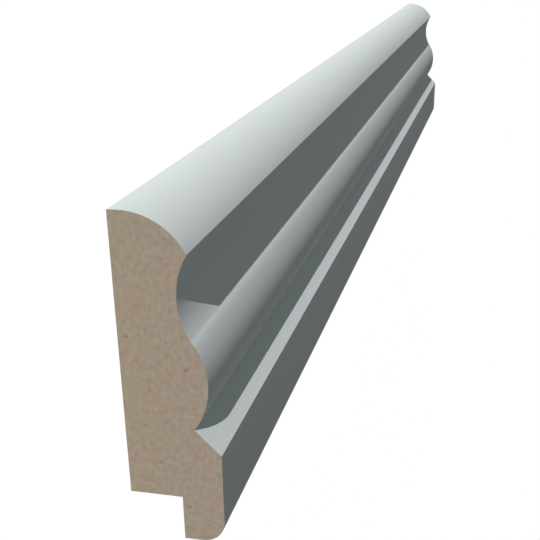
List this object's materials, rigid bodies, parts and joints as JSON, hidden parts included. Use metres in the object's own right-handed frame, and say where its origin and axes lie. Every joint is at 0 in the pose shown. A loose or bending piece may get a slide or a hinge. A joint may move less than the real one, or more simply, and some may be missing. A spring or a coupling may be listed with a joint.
{
  "type": "dado rail",
  "caption": "Length of rebated dado rail moulding: a rounded nose over a cove and torus, a bevel and a square lip, with a rebate behind the lip for the top of a wall panel.",
  "frame": {"origin": "bottom centre of the rail's box as it lies on its wall face: half way along the length, half way up the fitted height, on the wall face", "axes": "+X along the rail's length, +Y towards the nosing edge that is its top when it is fitted on a wall, +Z straight out from the wall"},
  "size_m": [0.5, 0.07, 0.02],
  "materials": {
    "primed_mdf": "factory-primed off-white matt on the moulded faces, raw sawn MDF on the two ends"
  },
  "bodies": {
    "root": {"dado_rail": "primed_mdf"}
  },
  "joints": []
}
